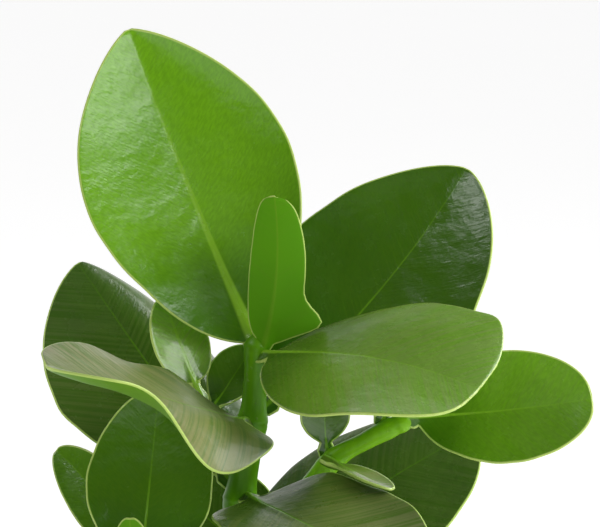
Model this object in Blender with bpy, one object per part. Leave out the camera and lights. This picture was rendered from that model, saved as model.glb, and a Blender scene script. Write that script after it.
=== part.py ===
"""Potted clusia: three leafy cuttings in potting soil in a plain plastic nursery pot.

Metres, +Z up. The origin is the middle of the pot's flat base, which stands on the surface.
+X is to the right and -Y is towards a person who looks at the plant's front.
The leaf and stem figures below are in millimetres, and mm() turns them into metres.
"""

import math

import bmesh
import bpy
from mathutils import Matrix, Vector

MM = 0.001
CLEARANCE = 0.3  # mm between pieces that touch

# Pot, in mm: a thermoformed nursery pot with a rolled rim and drain holes.
POT_HEIGHT = 122.0
POT_RIM_RADIUS = 76.0
POT_BASE_RADIUS = 54.0
POT_WALL = 2.4
POT_FLOOR = 3.0
RIM_DEPTH = 13.0
RIM_STEP = 2.6
RIM_ROUND = 0.8
FOOT_CHAMFER = 2.5
DRAIN_HOLES = 6
DRAIN_RADIUS = 5.0
DRAIN_CIRCLE = 36.0
DRAIN_SIDES = 16
DRAIN_CUT = (-2.0, 6.0)  # heights that the drain cutters run between
POT_SIDES = 56

# Soil, in mm: it fills the pot to just under the rim.
SOIL_BELOW_RIM = 13.0
SOIL_HEAP = 4.0
SOIL_LUMP = 0.65
SOIL_WAVES = ((1.0, 0.21, 3, 0.0), (0.7, -0.13, 5, 0.0), (0.5, 0.37, -2, 1.0))
SOIL_EVEN = 0.33  # share of the rim's radius over which the lumps fade out towards the middle
SOIL_FOOT_INSET = 1.0
SOIL_RINGS = 9
SOIL_SIDES = 40

# Leaves, in mm.
STALK_HALF_WIDTH = 2.3
STALK_THICKNESS = 3.2
YOUNG_STALK = 0.75  # a young leaf's stalk, as a share of a grown one's
BLADE_THICKNESS = 1.0
BLUNT_TIP = 1.3
THICK_BASE = 0.16  # share of the leaf's length over which the stalk's thickness fades out
EDGE_THINNING = 0.7
FLAT_BASE = 0.25  # share of the leaf's length over which fold and curl grow from nothing
FOLD_FADE = 0.6  # how much of the fold is gone at the tip
NO_CURL = 0.001  # curl in radians under which a half is worked out as flat
CLOSE_ROWS = 0.65  # how far the grid's rows crowd towards the root and the tip
LEAF_GRID = (9, 6)  # rows and columns
YOUNG_GRID = (8, 4)

# Stems, in mm.
NODE_SWELL = 0.9
NODE_REACH = 4.0
STEM_STEP = 7.0
TUBE_SIDE_STEPS = 4  # the curve's bevel resolution, which makes a tube of 12 sides
TUBE_SIDES = 12

# Degrees above which an edge is shaded sharp.
SHARP_POT = 40
SHARP_STEM = 50
SHARP_LEAF = 60


def mm(*values):
    """A point given in millimetres, as a vector in metres."""
    return Vector(values) * MM


def clear_scene():
    for obj in list(bpy.data.objects):
        bpy.data.objects.remove(obj)


def plastic_like(name, colour, roughness):
    """A material that isn't metal."""
    material = bpy.data.materials.new(name)
    material.use_nodes = True
    shader = material.node_tree.nodes["Principled BSDF"]
    shader.inputs["Base Color"].default_value = (*colour, 1.0)
    shader.inputs["Roughness"].default_value = roughness
    shader.inputs["Metallic"].default_value = 0.0
    return material


def new_object(name, mesh, material):
    mesh.materials.clear()
    mesh.materials.append(material)
    obj = bpy.data.objects.new(name, mesh)
    bpy.context.collection.objects.link(obj)
    return obj


def evaluated_copy(obj):
    """A mesh of the object with its modifiers applied."""
    graph = bpy.context.evaluated_depsgraph_get()
    return bpy.data.meshes.new_from_object(obj.evaluated_get(graph))


def smooth(mesh, sharp_degrees):
    mesh.shade_smooth()
    mesh.set_sharp_from_angle(angle=math.radians(sharp_degrees))


# Stems


class Stem:
    """A round stem through hand-picked points, thicker at its leaf nodes."""

    def __init__(self, points, radii, nodes):
        self.points = [Vector(p) for p in points]
        self.radii = radii
        self.nodes = nodes
        self.samples = self.sampled()

    def sampled(self):
        """Points every few millimetres on a smooth curve through the stem's own points."""
        count = len(self.points)
        ends = [2 * self.points[0] - self.points[1], *self.points, 2 * self.points[-1] - self.points[-2]]
        found = []
        for i in range(count - 1):
            before, start, stop, after = ends[i : i + 4]
            steps = max(2, round((stop - start).length / STEM_STEP))
            for k in range(steps):
                s = k / steps
                point = 0.5 * (
                    2 * start
                    + (stop - before) * s
                    + (2 * before - 5 * start + 4 * stop - after) * s**2
                    + (3 * start - before - 3 * stop + after) * s**3
                )
                radius = self.radii[i] + (self.radii[i + 1] - self.radii[i]) * s
                found.append((point, radius))
        found.append((self.points[-1], self.radii[-1]))
        return found

    def at(self, share):
        """Centre, direction and radius at a share of the samples, from 0 at the foot to 1 at the tip."""
        place = share * (len(self.samples) - 1)
        low = min(int(place), len(self.samples) - 2)
        rest = place - low
        (a, ra), (b, rb) = self.samples[low], self.samples[low + 1]
        centre = a.lerp(b, rest)
        return centre, (b - a).normalized(), ra + (rb - ra) * rest + self.swell(centre)

    def at_height(self, height):
        """The same at a height in mm, on a stem that only rises."""
        zs = [point.z for point, _ in self.samples]
        for i in range(len(zs) - 1):
            if zs[i] <= height <= zs[i + 1]:
                return self.at((i + (height - zs[i]) / (zs[i + 1] - zs[i])) / (len(zs) - 1))
        return self.at(1.0)

    def swell(self, centre):
        """How much thicker the stem is at a point near a leaf node."""
        found = 0.0
        for height in self.nodes:
            found = max(found, math.exp(-(((centre.z - height) / NODE_REACH) ** 2)))
        return NODE_SWELL * found

    def tube(self, name, wider=0.0):
        """The stem as a curve with a round bevel and filled ends, turned into a mesh."""
        curve = bpy.data.curves.new(name, "CURVE")
        curve.dimensions = "3D"
        curve.bevel_depth = MM
        curve.bevel_resolution = TUBE_SIDE_STEPS
        curve.use_fill_caps = True
        spline = curve.splines.new("POLY")
        spline.points.add(len(self.samples) - 1)
        for spot, (point, radius) in zip(spline.points, self.samples):
            spot.co = (*(point * MM), 1.0)
            spot.radius = radius + self.swell(point) + wider
        helper = bpy.data.objects.new(name, curve)
        bpy.context.collection.objects.link(helper)
        mesh = evaluated_copy(helper)
        bpy.data.objects.remove(helper)
        return mesh


# Main stem: from the soil to the top pair of leaves, leaning a little to the right.
MAIN = Stem(
    points=[(-5, 2, 52), (-6, 3, 112), (-6, 2, 170), (-3, 1, 228), (0, 0, 272), (4, 0, 298), (5.5, 0, 324)],
    radii=[6.6, 6.4, 6.0, 5.5, 5.0, 4.4, 3.4],
    nodes=[140, 172, 208, 237, 270, 297, 322],
)
# Left cutting, which leans forward and to the left.
LEFT = Stem(
    points=[(-34, -10, 52), (-36, -13, 112), (-41, -18, 170), (-38, -23, 222), (-34, -24, 252)],
    radii=[5.2, 5.0, 4.6, 4.2, 3.7],
    nodes=[138, 158, 190, 222, 248],
)
# Back cutting, which leans back.
BACK = Stem(
    points=[(24, 22, 52), (26, 25, 112), (27, 33, 165), (22, 41, 205), (18, 45, 232)],
    radii=[5.2, 5.0, 4.4, 3.6, 2.6],
    nodes=[144, 172, 204, 227],
)
# Side branch of the main stem, to the right.
RIGHT_BRANCH = Stem(
    points=[(-2, 1, 240), (9, 1, 258), (29, -2, 283), (42, -4, 292), (55.8, -6, 299.6)],
    radii=[3.4, 3.2, 3.0, 2.9, 2.3],
    nodes=[284, 297],
)
# Young shoot of the main stem, up to the left.
YOUNG_SHOOT = Stem(
    points=[(2, 2, 281), (-5, 6, 288), (-11, 6, 296), (-13, 5, 303)],
    radii=[2.4, 2.3, 2.2, 2.0],
    nodes=[],
)


# Leaves


class Leaf:
    """One blade with its stalk. All lengths are in mm and all angles in degrees.

    reach: from the leaf's root to its tip.
    arch: how far the middle of the midrib stands off the straight line from root to tip.
    face: the way that the upper side looks, at the middle of the leaf.
    fold: how far each half rises from flat at the midrib.
    curl: how much further each half, left and right, turns up by its edge at the leaf's base.
    tip_curl: the same at the leaf's tip, where it differs.
    wave: the lift of the left and right edges, and where along the leaf each wave starts.
    flare: how much further the left and right halves reach at one place, where, and over what share.
    slant: how much lower the left corner of the tip is.
    """

    def __init__(
        self,
        name,
        root,
        reach,
        width,
        face,
        arch=(0, 0, 0),
        fold=8,
        curl=(15, 15),
        tip_curl=None,
        wave=(0, 0, 0, 0),
        stalk=3.0,
        widest=0.52,
        base_power=0.55,
        tip_power=0.5,
        flare=(0, 0, 0.5, 0.1),
        slant=0,
        young=False,
    ):
        self.name = name
        self.reach = Vector(reach)
        self.arch = Vector(arch)
        self.width = width
        self.face = Vector(face)
        self.fold = math.radians(fold)
        self.curl = [math.radians(c) for c in curl]
        self.tip_curl = [math.radians(c) for c in tip_curl or curl]
        self.wave = wave
        self.stalk_share = stalk / self.reach.length
        self.bulge = math.log(0.5) / math.log(widest)
        self.base_power = base_power
        self.tip_power = tip_power
        self.flare = flare
        self.slant = slant
        self.young = young
        self.root = self.seat(root)

    def direction(self, t):
        return (self.reach + self.arch * (4 - 8 * t)).normalized()

    def frame(self, t):
        """The midrib's direction, the way that the upper side looks, and the way to the right side."""
        along = self.direction(t)
        up = (self.face - along * self.face.dot(along)).normalized()
        return along, up, along.cross(up)

    def seat(self, root):
        """The root's place: just clear of the stem where the leaf leaves it, or a plain point."""
        if not isinstance(root[0], Stem):
            return Vector(root)
        stem, height = root
        centre, axis, radius = stem.at_height(height)
        clear = radius * math.cos(math.pi / TUBE_SIDES) + CLEARANCE
        leaving, up, right = self.frame(0)
        outward = (leaving - axis * leaving.dot(axis)).normalized()
        sideways = axis.cross(outward)
        half_wide = right * self.stalk_half_width()
        half_thick = up * (STALK_THICKNESS / 2 * self.stalk_size())
        distance = 0.0
        for corner in (half_wide, -half_wide, half_thick, -half_thick):
            needed = math.sqrt(max(0.0, clear**2 - corner.dot(sideways) ** 2)) - corner.dot(outward)
            distance = max(distance, needed / leaving.dot(outward))
        return centre + leaving * distance

    def stalk_size(self):
        return YOUNG_STALK if self.young else 1.0

    def stalk_half_width(self):
        return STALK_HALF_WIDTH * self.stalk_size()

    def half_width(self, t):
        s = max(0.0, (t - self.stalk_share) / (1 - self.stalk_share))
        power = self.base_power + (self.tip_power - self.base_power) * s
        shape = max(0.0, math.sin(math.pi * s**self.bulge)) ** power
        stalk = self.stalk_half_width()
        return math.hypot(stalk + (BLUNT_TIP - stalk) * s, self.width / 2 * shape)

    def reach_out(self, t, side):
        """Half of the blade's width at t, on side 0 for left and 1 for right."""
        where, share = self.flare[2:]
        return self.half_width(t) + self.flare[side] * math.exp(-(((t - where) / share) ** 2))

    def point(self, t, u):
        """The place on the blade's middle layer at t along the midrib and u across, -1 left to 1 right."""
        centre = self.root + self.reach * t + self.arch * (4 * t * (1 - t))
        along, up, right = self.frame(t)
        side = 1 if u > 0 else 0
        a = abs(u)
        grown = min(1.0, t / FLAT_BASE)
        fold = self.fold * (1 - FOLD_FADE * t) * grown
        curl = (self.curl[side] * (1 - t) + self.tip_curl[side] * t) * grown
        if abs(curl) > NO_CURL:
            outward = (math.sin(fold + curl * a) - math.sin(fold)) / curl
            lift = (math.cos(fold) - math.cos(fold + curl * a)) / curl
        else:
            outward = a * math.cos(fold)
            lift = a * math.sin(fold)
        half = self.reach_out(t, side)
        height, start = self.wave[2 * side], self.wave[2 * side + 1]
        ripple = height * a**2 * math.sin(2 * math.pi * (t + start)) * math.sin(math.pi * t)
        lower = along * (self.slant * max(0.0, -u) * t**6)
        return centre + right * (math.copysign(1.0, u) * outward * half) + up * (lift * half + ripple) - lower

    def thickness(self, t, u):
        """Share of the stalk's thickness: full in the stalk, thin out in the blade."""
        thin = BLADE_THICKNESS / STALK_THICKNESS
        near_root = math.exp(-max(0.0, t - self.stalk_share) / THICK_BASE)
        return thin + (1 - thin) * near_root * (1 - abs(u)) ** EDGE_THINNING

    def mesh(self):
        rows, columns = YOUNG_GRID if self.young else LEAF_GRID
        cells = bmesh.new()
        bmesh.ops.create_grid(cells, x_segments=columns, y_segments=rows, size=1.0)
        bmesh.ops.triangulate(cells, faces=cells.faces[:], quad_method="FIXED")
        layer = cells.verts.layers.deform.verify()
        for spot in cells.verts:
            u = spot.co.x
            s = (spot.co.y + 1) / 2
            t = (1 - CLOSE_ROWS) * s + CLOSE_ROWS * (1 - math.cos(math.pi * s)) / 2
            spot[layer][0] = self.thickness(t, u)
            spot.co = self.point(t, u) * MM
        made = bpy.data.meshes.new(self.name)
        cells.to_mesh(made)
        cells.free()
        return made

    def build(self, material):
        obj = new_object(self.name, self.mesh(), material)
        obj.vertex_groups.new(name="thickness")
        solid = obj.modifiers.new("thickness", "SOLIDIFY")
        solid.thickness = STALK_THICKNESS * self.stalk_size() * MM
        solid.offset = 0
        solid.vertex_group = "thickness"
        solid.use_even_offset = False
        smooth(obj.data, SHARP_LEAF)
        return obj


LEAVES = [
    # Main stem: the top pair and the youngest pair between them
    Leaf("leaf_top_left", (5, 5.7, 322.5), (-43.4, 37.3, 101), 77, (0.25, -0.85, 0.4),
         arch=(-0.6, 5, -2.8), curl=(8, 44), stalk=1.5, widest=0.51, base_power=0.54, tip_power=0.7),
    Leaf("leaf_top_right", (MAIN, 319), (68, -49, -1), 72, (0.0, -0.46, 0.88), arch=(0, -5, 6),
         curl=(-20, -22), tip_curl=(-10, 14), wave=(0, 0, 3, 0.4), widest=0.58, base_power=0.4,
         tip_power=0.3, flare=(6, 0, 0.85, 0.12)),
    Leaf("leaf_young_front", (8, -2, 324.4), (3.4, -1, 49.6), 19, (0.1, 1, 0.1), arch=(2.5, -3, 0), stalk=1,
         widest=0.45, base_power=0.4, tip_power=0.28, flare=(9, 0, 0.19, 0.1), slant=2, young=True),
    Leaf("leaf_young_back", (8, 1.4, 324.4), (5, 4, 36), 15, (-0.1, -1, 0.2), arch=(1, -1, 0), stalk=1,
         young=True),
    # Main stem: the second pair
    Leaf("leaf_second_front", (MAIN, 296), (-62, -55, 31), 56, (0.35, -0.11, 1), arch=(6, -7, 0),
         curl=(-42, 15), tip_curl=(27, -7), wave=(11, 0.35, -3, -0.2), base_power=0.25, tip_power=0.28,
         flare=(7, 0, 0.9, 0.1)),
    Leaf("leaf_second_back", (MAIN, 298), (68, 50, 72.5), 72, (-0.3, -0.85, 0.45), arch=(3.5, 4, -3), stalk=6,
         widest=0.47, base_power=0.52, tip_power=0.62, flare=(0, 6, 0.38, 0.15)),
    # Main stem: the third pair
    Leaf("leaf_third_front", (MAIN, 272), (57.5, -58.5, -14.5), 58, (0, -0.33, 0.9), arch=(-5.5, -3, 4.5),
         curl=(29, 15), tip_curl=(-6, -9), wave=(4, 0.35, 0, 0), widest=0.5, base_power=0.31),
    Leaf("leaf_third_back", (MAIN, 272), (-52, 40, 66), 70, (0.2, -0.9, 0.35), arch=(-1, 4, 0), curl=(5, -60),
         tip_curl=(5, -120), widest=0.5, tip_power=0.62),
    # Main stem: lower leaves
    Leaf("leaf_fourth_back", (MAIN, 237), (76, 34, 44), 66, (-0.15, -0.65, 0.75), arch=(-2, 3, 1),
         curl=(-35, 5), stalk=4, base_power=0.45),
    Leaf("leaf_fourth_front", (MAIN, 237), (4, -76, -26), 54, (0.0, -0.1, 1), arch=(0, -3, 9)),
    Leaf("leaf_fifth_front", (MAIN, 208), (36, -80, -14), 66, (0.0, -0.1, 1), arch=(0, -6, 9)),
    Leaf("leaf_fifth_back", (MAIN, 208), (-32, 80, 2), 64, (0.0, -0.1, 1), arch=(0, 4, 9)),
    Leaf("leaf_sixth_right", (MAIN, 172), (88, -14, -16), 66, (0.1, 0, 1), arch=(4, 0, 10)),
    Leaf("leaf_sixth_left", (MAIN, 172), (-72, 28, -16), 62, (-0.1, 0, 1), arch=(-4, 0, 9)),
    Leaf("leaf_seventh_front", (MAIN, 140), (-8, -74, -4), 56, (0, 0, 1), arch=(0, -4, 10)),
    Leaf("leaf_seventh_back", (MAIN, 140), (-22, 70, -4), 54, (0, 0, 1), arch=(-2, 4, 10)),
    # Right branch
    Leaf("leaf_branch_right", (57, -6.1, 300.2), (59, -6, 7.5), 40, (0, -0.85, 0.5), arch=(0, 0, -1), stalk=2,
         tip_power=0.4),
    Leaf("leaf_branch_back", (47, -2, 299.2), (5, -6, 18.5), 15, (0.3, -0.8, 0.4), young=True),
    Leaf("leaf_branch_low", (29.5, -7.7, 285.4), (20.5, -16, -5.5), 11.5, (0, 0.05, 1), young=True),
    Leaf("leaf_branch_up", (28.5, 0.6, 287.4), (-1, -3, 22), 17, (0.1, -0.9, 0.4), young=True),
    # Young shoot
    Leaf("leaf_shoot_left", (-13.3, 5.4, 303.9), (-13, 9, 33), 20, (0.36, -0.86, 0.34), fold=3,
         curl=(12, 12), stalk=6, widest=0.46, base_power=0.4, young=True),
    Leaf("leaf_shoot_right", (-10, 8.6, 299), (14, 15, 19), 18, (-0.2, -0.85, 0.4), young=True),
    # Left cutting
    Leaf("leaf_left_up", (-32.8, -25, 253), (6, 16, 57.5), 42, (0.1, -0.9, 0.35), arch=(0, 3, -2),
         curl=(3, 3), widest=0.46),
    Leaf("leaf_left_side", (-36.6, -20.3, 253), (-25, 23, 34), 20, (-0.3, -0.85, 0.4), arch=(3, 0, 2),
         stalk=2),
    Leaf("leaf_left_young", (-34.5, -28.4, 252.6), (-1, -4, 20), 11, (0.1, 1, 0.1), stalk=1, young=True),
    Leaf("leaf_left_front", (LEFT, 222), (-62, -46, -6), 58, (0, 0, 1), arch=(-2, -2, 9)),
    Leaf("leaf_left_back", (LEFT, 222), (-42, 54, 6), 54, (0, 0, 1), arch=(-2, 4, 9)),
    Leaf("leaf_left_low_front", (LEFT, 190), (2, -74, -24), 56, (0, 0, 1), arch=(0, -4, 9)),
    Leaf("leaf_left_low_back", (LEFT, 190), (-24, 68, -6), 54, (0, 0, 1), arch=(0, 4, 9)),
    Leaf("leaf_left_low_side", (LEFT, 158), (-76, -12, -12), 56, (0, 0, 1), arch=(-4, 0, 10)),
    Leaf("leaf_left_bottom", (LEFT, 138), (-46, -54, -4), 50, (0, 0, 1), arch=(-2, -3, 9)),
    # Back cutting
    Leaf("leaf_back_left", (BACK, 227), (-40, 14, 30), 44, (0.2, -0.9, 0.4)),
    Leaf("leaf_back_right", (BACK, 227), (44, 26, 16), 44, (0, 0, 1)),
    Leaf("leaf_back_young", (17.8, 45.2, 232.4), (-2, 3, 16), 9, (0.1, 1, 0.1), stalk=1, young=True),
    Leaf("leaf_back_low_right", (BACK, 204), (68, 2, -4), 58, (0, 0, 1), arch=(4, 0, 10)),
    Leaf("leaf_back_low_back", (BACK, 204), (-4, 76, 4), 58, (0, 0, 1), arch=(0, 4, 9)),
    Leaf("leaf_back_bottom_right", (BACK, 172), (68, 42, -20), 56, (0, 0, 1), arch=(4, 3, 10)),
    Leaf("leaf_back_bottom_left", (BACK, 172), (-32, 66, -18), 56, (0, 0, 1), arch=(-2, 4, 10)),
    Leaf("leaf_back_side", (BACK, 144), (70, -6, 0), 54, (0, 0, 1), arch=(3, 0, 10)),
]


def build_stem(name, stem, branches, material):
    """A stem with its branches joined to it as one body."""
    obj = new_object(name, stem.tube(name), material)
    if branches:
        grown_on = bpy.data.collections.new(name + "_branches")
        bpy.context.scene.collection.children.link(grown_on)
        for i, branch in enumerate(branches):
            helper = bpy.data.objects.new(f"{name}_branch_{i}", branch.tube(f"{name}_branch_{i}"))
            grown_on.objects.link(helper)
        union = obj.modifiers.new("branches", "BOOLEAN")
        union.operation = "UNION"
        union.operand_type = "COLLECTION"
        union.collection = grown_on
        joined = evaluated_copy(obj)
        obj.modifiers.clear()
        obj.data = joined
        for helper in list(grown_on.objects):
            bpy.data.objects.remove(helper)
        bpy.data.collections.remove(grown_on)
    smooth(obj.data, SHARP_STEM)
    return obj


# Pot and soil


def wall_radius(height):
    """The outer radius of the pot's wall at a height in mm."""
    share = height / (POT_HEIGHT - RIM_DEPTH)
    return POT_BASE_RADIUS + (POT_RIM_RADIUS - RIM_STEP - POT_BASE_RADIUS) * share


def turned(name, profile, sides):
    """A closed solid of revolution about the Z axis, from radius and height pairs in mm, with flat caps."""
    cells = bmesh.new()
    rings = []
    for radius, height in profile:
        ring = []
        for i in range(sides):
            angle = 2 * math.pi * i / sides
            ring.append(cells.verts.new(mm(radius * math.cos(angle), radius * math.sin(angle), height)))
        rings.append(ring)
    for low, high in zip(rings, rings[1:]):
        for i in range(sides):
            j = (i + 1) % sides
            cells.faces.new((low[i], low[j], high[j], high[i]))
    cells.faces.new(list(reversed(rings[0])))
    cells.faces.new(rings[-1])
    mesh = bpy.data.meshes.new(name)
    cells.to_mesh(mesh)
    cells.free()
    return mesh


def cut_with(obj, cutters):
    """Cuts helper objects out of a solid by one exact Boolean each, and removes the helpers."""
    for cutter in cutters:
        cut = obj.modifiers.new("cut", "BOOLEAN")
        cut.operation = "DIFFERENCE"
        cut.object = cutter
    cut_mesh = evaluated_copy(obj)
    obj.modifiers.clear()
    obj.data = cut_mesh
    for cutter in cutters:
        bpy.data.objects.remove(cutter)


def build_pot(material):
    rim_bottom = POT_HEIGHT - RIM_DEPTH
    rim_inside = POT_RIM_RADIUS - RIM_STEP - POT_WALL
    profile = [
        (POT_BASE_RADIUS - FOOT_CHAMFER, 0),
        (wall_radius(FOOT_CHAMFER), FOOT_CHAMFER),
        (wall_radius(rim_bottom), rim_bottom),
        (POT_RIM_RADIUS - RIM_ROUND / 2, rim_bottom),
        (POT_RIM_RADIUS, rim_bottom + RIM_ROUND / 2),
        (POT_RIM_RADIUS, POT_HEIGHT - RIM_ROUND),
        (POT_RIM_RADIUS - RIM_ROUND, POT_HEIGHT),
        (rim_inside + RIM_ROUND, POT_HEIGHT),
        (rim_inside, POT_HEIGHT - RIM_ROUND),
        (rim_inside, rim_bottom),
        (wall_radius(POT_FLOOR) - POT_WALL, POT_FLOOR),
    ]
    obj = new_object("pot", turned("pot", profile, POT_SIDES), material)
    holes = []
    for i in range(DRAIN_HOLES):
        angle = 2 * math.pi * (i + 0.5) / DRAIN_HOLES
        profile = [(DRAIN_RADIUS, DRAIN_CUT[0]), (DRAIN_RADIUS, DRAIN_CUT[1])]
        hole = new_object(f"drain_{i}", turned(f"drain_{i}", profile, DRAIN_SIDES), material)
        place = mm(DRAIN_CIRCLE * math.cos(angle), DRAIN_CIRCLE * math.sin(angle), 0)
        hole.data.transform(Matrix.Translation(place))
        holes.append(hole)
    cut_with(obj, holes)
    smooth(obj.data, SHARP_POT)
    return obj


def soil_height(radius, angle):
    """The soil's top at a place, in mm: heaped in the middle, with low uneven lumps."""
    share = radius / POT_RIM_RADIUS
    lumps = 0.0
    for size, by_radius, by_angle, first in SOIL_WAVES:
        lumps += size * math.sin(by_radius * radius + by_angle * angle + first)
    level = POT_HEIGHT - SOIL_BELOW_RIM + SOIL_HEAP * (1 - share**2)
    return level + SOIL_LUMP * lumps * min(1, share / SOIL_EVEN)


def build_soil(material):
    """The soil follows the pot's inside, with a clear gap, and has a plain hole for each stem."""
    bottom = POT_FLOOR + CLEARANCE
    top = POT_HEIGHT - SOIL_BELOW_RIM
    gap = POT_WALL + 2 * CLEARANCE
    edge = wall_radius(top) - gap
    profile = [(wall_radius(bottom) - gap - SOIL_FOOT_INSET, bottom), (edge, top)]
    for ring in range(1, SOIL_RINGS):
        profile.append((edge * (1 - ring / SOIL_RINGS), top))
    mesh = turned("soil", profile, SOIL_SIDES)
    for spot in mesh.vertices:
        radius = math.hypot(spot.co.x, spot.co.y) / MM
        if spot.co.z > bottom * MM + CLEARANCE * MM:
            spot.co.z = soil_height(radius, math.atan2(spot.co.y, spot.co.x)) * MM
    obj = new_object("soil", mesh, material)
    holes = []
    for name, stem in (("main", MAIN), ("left", LEFT), ("back", BACK)):
        holes.append(new_object("hole_" + name, stem.tube("hole_" + name, CLEARANCE), material))
        foot = stem.samples[0][0].z
        for spot in holes[-1].data.vertices:
            if spot.co.z < (foot + STEM_STEP / 2) * MM:
                spot.co.z -= CLEARANCE * MM
    cut_with(obj, holes)
    smooth(obj.data, SHARP_LEAF)
    return obj


def main():
    clear_scene()
    stem_green = plastic_like("stem_green", (0.10, 0.28, 0.01), 0.45)
    leaf_green = plastic_like("leaf_green", (0.035, 0.14, 0.012), 0.3)
    pot_grey = plastic_like("pot_grey", (0.035, 0.037, 0.04), 0.5)
    soil_brown = plastic_like("soil_brown", (0.035, 0.02, 0.012), 0.95)
    build_stem("stem_main", MAIN, [RIGHT_BRANCH, YOUNG_SHOOT], stem_green)
    build_stem("stem_left", LEFT, [], stem_green)
    build_stem("stem_back", BACK, [], stem_green)
    for leaf in LEAVES:
        leaf.build(leaf_green)
    build_pot(pot_grey)
    build_soil(soil_brown)


main()
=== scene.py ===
"""Potted clusia: three leafy cuttings in potting soil in a plain nursery pot, as they look.

The frame is in metres, +Z up, with the pot's base on the floor at the origin.
Sizes in this file are in millimetres and angles in degrees, unless a comment says otherwise.
"""

import math
import random

import bpy
from mathutils import Matrix, Vector, noise


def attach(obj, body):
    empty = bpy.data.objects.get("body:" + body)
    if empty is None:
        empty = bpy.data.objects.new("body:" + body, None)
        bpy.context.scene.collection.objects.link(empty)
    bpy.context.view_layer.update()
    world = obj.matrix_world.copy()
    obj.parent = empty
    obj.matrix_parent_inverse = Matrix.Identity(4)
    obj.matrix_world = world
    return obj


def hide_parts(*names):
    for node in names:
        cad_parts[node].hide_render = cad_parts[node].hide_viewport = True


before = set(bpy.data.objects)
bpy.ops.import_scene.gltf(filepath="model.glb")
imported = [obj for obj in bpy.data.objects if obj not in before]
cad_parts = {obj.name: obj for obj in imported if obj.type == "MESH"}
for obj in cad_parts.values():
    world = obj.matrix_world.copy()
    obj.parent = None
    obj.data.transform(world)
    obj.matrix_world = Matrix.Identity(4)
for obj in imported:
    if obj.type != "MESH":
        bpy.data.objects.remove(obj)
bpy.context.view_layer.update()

MM = 0.001

# Camera, lamps and floor
# The camera looks at the plant's front from ten degrees above, through a long lens, as the photograph does.
# Two wide softboxes stand to the right, a narrow one hangs high to the left and a weak one above the camera.
# The room is dark but for a white backdrop behind the plant and a pale floor that lights it from below.
CAMERA_TARGET = (19.8, 0.0, 350.8)
CAMERA_DISTANCE = 1200.0
CAMERA_RISE = 10.0
VIEW_WIDTH = 198.0  # at the camera's target
SENSOR_WIDTH = 36.0
LAMP_AIM = Vector((20.0, 0.0, 330.0)) * MM
FLOOR_SIZE = 14.0  # metres
FLOOR_DROP = 0.1
ROOM_DARK = 0.07
BACKDROP = 1.0
BACKDROP_SIDES = (0.15, 0.75)  # how far behind a direction points where the backdrop starts and is full
BACKDROP_TOP = (0.80, 0.30)  # how far up a direction points where the backdrop starts and is full


def aimed_turn(place, aim):
    """The turn that points a lamp or a camera from one place in metres at another."""
    return (Vector(aim) - Vector(place)).to_track_quat("-Z", "Y").to_euler()


rise = math.radians(CAMERA_RISE)
target = Vector(CAMERA_TARGET) * MM
eye = target + Vector((0, -math.cos(rise), math.sin(rise))) * CAMERA_DISTANCE * MM
bpy.ops.object.select_all(action="DESELECT")
bpy.ops.object.camera_add(location=eye, rotation=aimed_turn(eye, target))
camera = bpy.context.object
camera.data.sensor_width = SENSOR_WIDTH
camera.data.lens = SENSOR_WIDTH * CAMERA_DISTANCE / VIEW_WIDTH
bpy.context.scene.camera = camera
bpy.context.scene.view_settings.view_transform = "Standard"


def hang_softbox(name, around, up, away, width, height, glow):
    """A lamp turned towards the plant, at degrees around from the front to the right and degrees up.

    away, width and height are in metres, and glow is the brightness of its cloth.
    """
    side, lift = math.radians(around), math.radians(up)
    way = Vector((math.sin(side) * math.cos(lift), -math.cos(side) * math.cos(lift), math.sin(lift)))
    place = LAMP_AIM + way * away
    bpy.ops.object.light_add(type="AREA", location=place, rotation=aimed_turn(place, LAMP_AIM))
    lamp = bpy.context.object
    lamp.name = name
    lamp.data.shape = "RECTANGLE"
    lamp.data.size = width
    lamp.data.size_y = height
    lamp.data.energy = glow * math.pi * width * height


hang_softbox("softbox_right", around=58, up=26, away=1.5, width=0.9, height=0.6, glow=5.2)
hang_softbox("softbox_side", around=112, up=30, away=1.5, width=1.0, height=1.0, glow=6.0)
hang_softbox("softbox_left", around=-65, up=48, away=1.5, width=0.8, height=0.24, glow=8.0)
hang_softbox("softbox_front", around=0, up=39, away=1.8, width=1.5, height=0.4, glow=0.25)


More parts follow.
